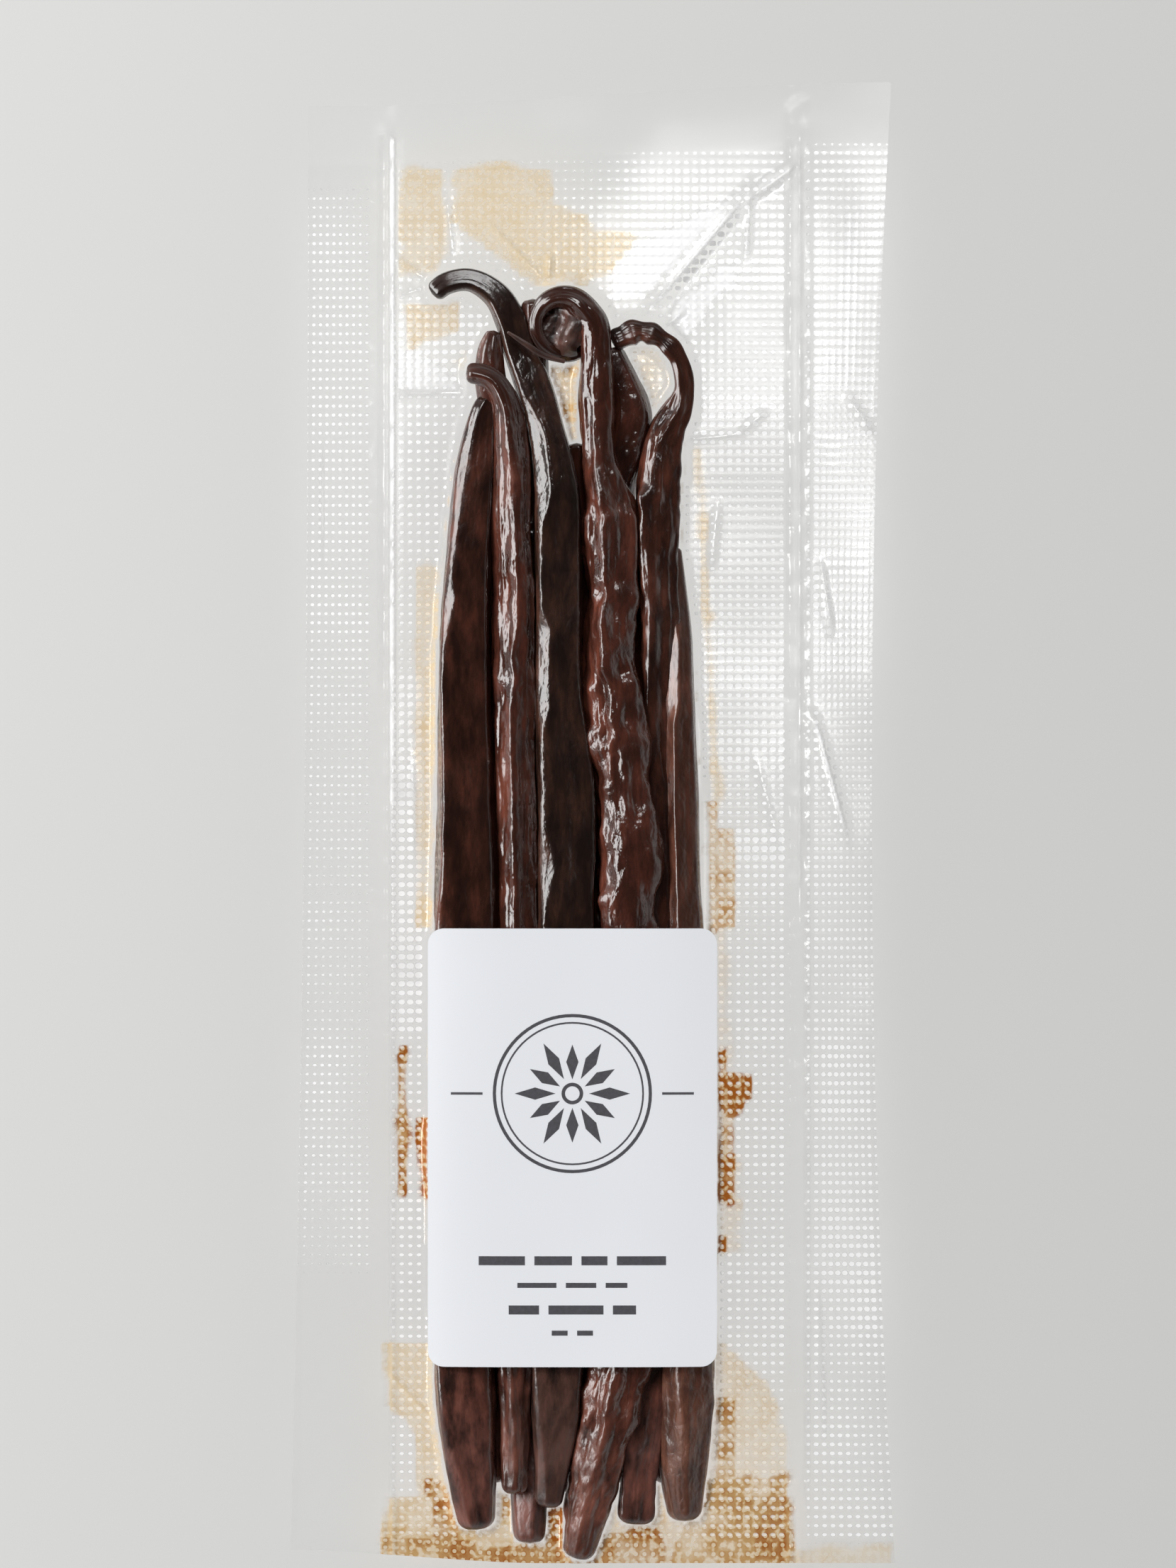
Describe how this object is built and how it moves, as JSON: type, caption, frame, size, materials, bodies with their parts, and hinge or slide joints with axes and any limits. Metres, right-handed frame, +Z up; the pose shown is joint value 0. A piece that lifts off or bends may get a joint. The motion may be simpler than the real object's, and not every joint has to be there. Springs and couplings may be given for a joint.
{
  "type": "vacuum packed vanilla pods",
  "caption": "Flat clear dimpled vacuum pouch, heat-sealed all round, holding a bundle of long dark vanilla pods with hooked tips, with a white rounded label on the front.",
  "frame": {"origin": "centre of the box round the pouch, on the table that the pouch lies on", "axes": "+X across the pouch to the right of the label, +Y along the pods towards their hooked tips and the top of the label, +Z up from the table, out of the labelled side"},
  "size_m": [0.084, 0.2058, 0.0126],
  "materials": {
    "pods": "dark brown cured vanilla pod, oily and glossy, wrinkled lengthwise",
    "film": "clear film embossed with rows of small dimples, tinted tan where vanilla oil has spread",
    "label": "white satin sticker",
    "print": "dark grey ink"
  },
  "bodies": {
    "root": {"pouch": "pods", "label": "label"}
  },
  "joints": []
}
